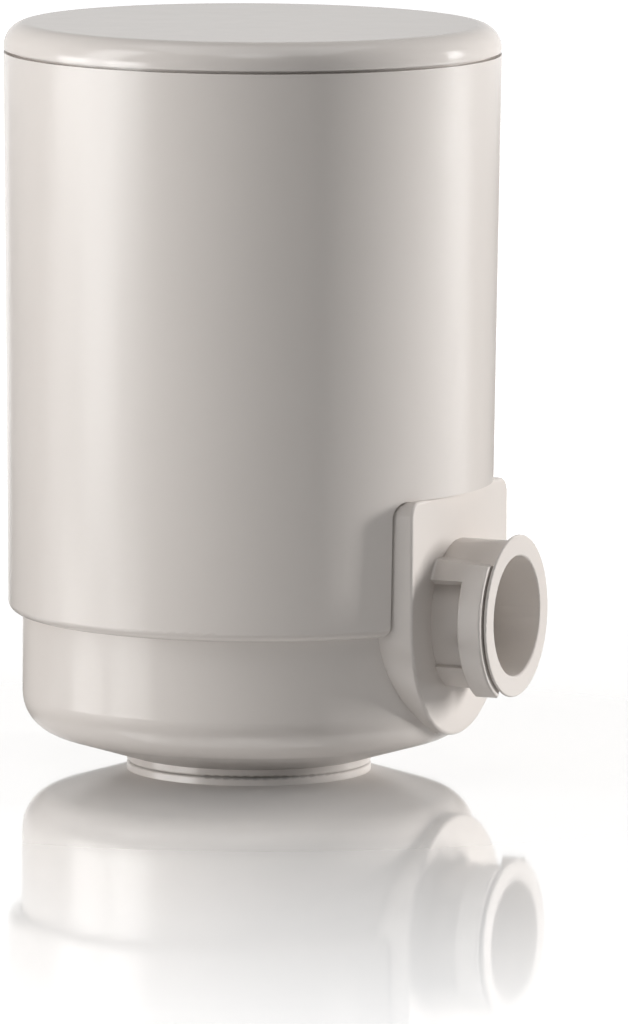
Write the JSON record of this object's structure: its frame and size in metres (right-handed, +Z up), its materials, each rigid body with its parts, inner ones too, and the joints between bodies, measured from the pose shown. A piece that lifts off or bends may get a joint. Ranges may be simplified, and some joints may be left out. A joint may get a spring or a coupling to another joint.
{
  "type": "faucet filter cartridge",
  "caption": "Upright round water filter cartridge with a drafted sleeve, a dished foot and a side inlet spigot with latch lugs, holding a carbon block.",
  "frame": {"origin": "centre of the outlet, on the plane that the foot stands on", "axes": "+Z up along the body, +X out along the inlet spigot, +Y to the left seen along the spigot outwards"},
  "size_m": [0.0672, 0.062, 0.0927],
  "materials": {
    "shell_plastic": "satin",
    "inner_plastic": "satin",
    "carbon": "matt, porous",
    "fleece": "non-woven",
    "seal_rubber": "matt"
  },
  "bodies": {
    "root": {"housing": "shell_plastic", "outer_sleeve": "shell_plastic", "top_cap": "shell_plastic", "upper_end_cap": "inner_plastic", "lower_end_cap": "inner_plastic", "core_tube": "inner_plastic", "inlet_strainer": "inner_plastic", "outlet_screen": "inner_plastic", "carbon_block": "carbon", "prefilter_fleece": "fleece", "neck_o_ring_lower": "seal_rubber", "neck_o_ring_upper": "seal_rubber", "flow_restrictor": "seal_rubber"}
  },
  "joints": []
}
